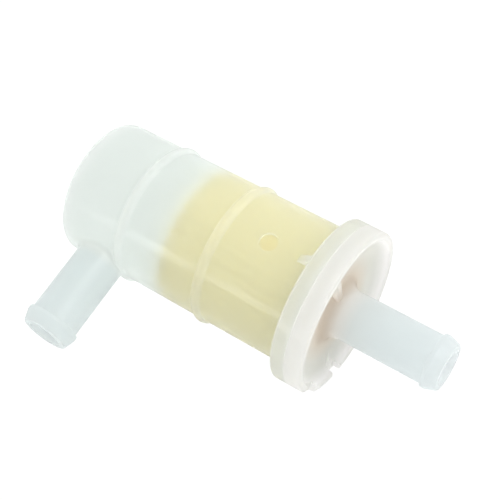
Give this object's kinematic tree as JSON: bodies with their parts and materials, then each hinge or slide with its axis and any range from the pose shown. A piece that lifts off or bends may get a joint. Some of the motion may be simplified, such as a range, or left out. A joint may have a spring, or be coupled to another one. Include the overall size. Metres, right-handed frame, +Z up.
{
  "type": "fuel filter",
  "caption": "In-line fuel filter: translucent canister with a side inlet tail, pleated paper element inside, and a welded end cap with an outlet tail.",
  "frame": {"origin": "centre of the canister's closed end, on its outer face", "axes": "+X along the canister from the closed end to the outlet, -Y along the side inlet, +Z up, on the side of the gate mark"},
  "size_m": [0.0689, 0.0429, 0.0292],
  "materials": {
    "canister_plastic": "milky translucent, satin gloss",
    "cap_plastic": "whitish, nearly opaque, satin",
    "filter_paper": "resin-treated paper, matt",
    "adhesive": "cured amber adhesive",
    "inner_plastic": "natural moulded plastic",
    "seal_rubber": "matt black rubber"
  },
  "bodies": {
    "root": {"canister": "canister_plastic", "end_cap": "cap_plastic", "filter_paper": "filter_paper", "paper_seam": "adhesive", "core_tube": "inner_plastic", "blind_disc": "inner_plastic", "collar_disc": "inner_plastic", "blind_end_adhesive": "adhesive", "collar_end_adhesive": "adhesive", "neck_seal": "seal_rubber"}
  },
  "joints": []
}
